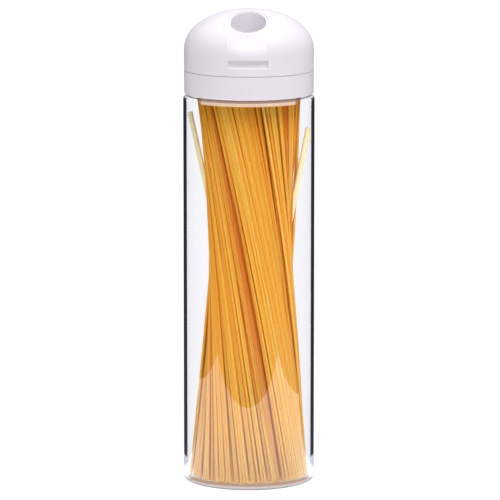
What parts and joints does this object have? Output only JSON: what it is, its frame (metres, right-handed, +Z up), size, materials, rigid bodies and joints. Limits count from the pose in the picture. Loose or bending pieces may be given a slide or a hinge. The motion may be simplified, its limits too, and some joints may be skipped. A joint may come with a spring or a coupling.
{
  "type": "lidded glass canister",
  "caption": "Tall round glass jar for dry spaghetti, with a domed plastic lid whose turning spout measures out a portion.",
  "frame": {"origin": "centre of the jar's foot, on the surface it stands on", "axes": "+Z up along the jar's axis, -Y towards the spout and thumb notch, +X to the right of someone facing the spout"},
  "size_m": [0.088, 0.088, 0.3195],
  "materials": {
    "clear_glass": "clear, smooth blown borosilicate glass",
    "white_plastic": "satin injection moulded, near white",
    "inner_plastic": "matt injection moulded, near white",
    "clear_silicone": "soft translucent silicone",
    "steel": "plain stainless steel"
  },
  "bodies": {
    "jar": {"glass_jar": "clear_glass"},
    "lid_base": {"lid_collar": "white_plastic", "port_deck": "inner_plastic", "neck_gasket": "clear_silicone"},
    "dome": {"dome_cap": "white_plastic", "measuring_sleeve": "inner_plastic", "sleeve_seal": "clear_silicone", "pivot_screw": "steel", "pivot_washer": "steel"}
  },
  "joints": [
    {"name": "lid_lift", "type": "slide", "parent": "jar", "child": "lid_base", "axis": [0, 0, 1], "range_m": [0, 0.06]},
    {"name": "dome_turn", "type": "hinge", "parent": "lid_base", "child": "dome", "pos_m": [0, 0, 0.2786], "axis": [0, 0, 1], "range_deg": [0, 180]}
  ]
}
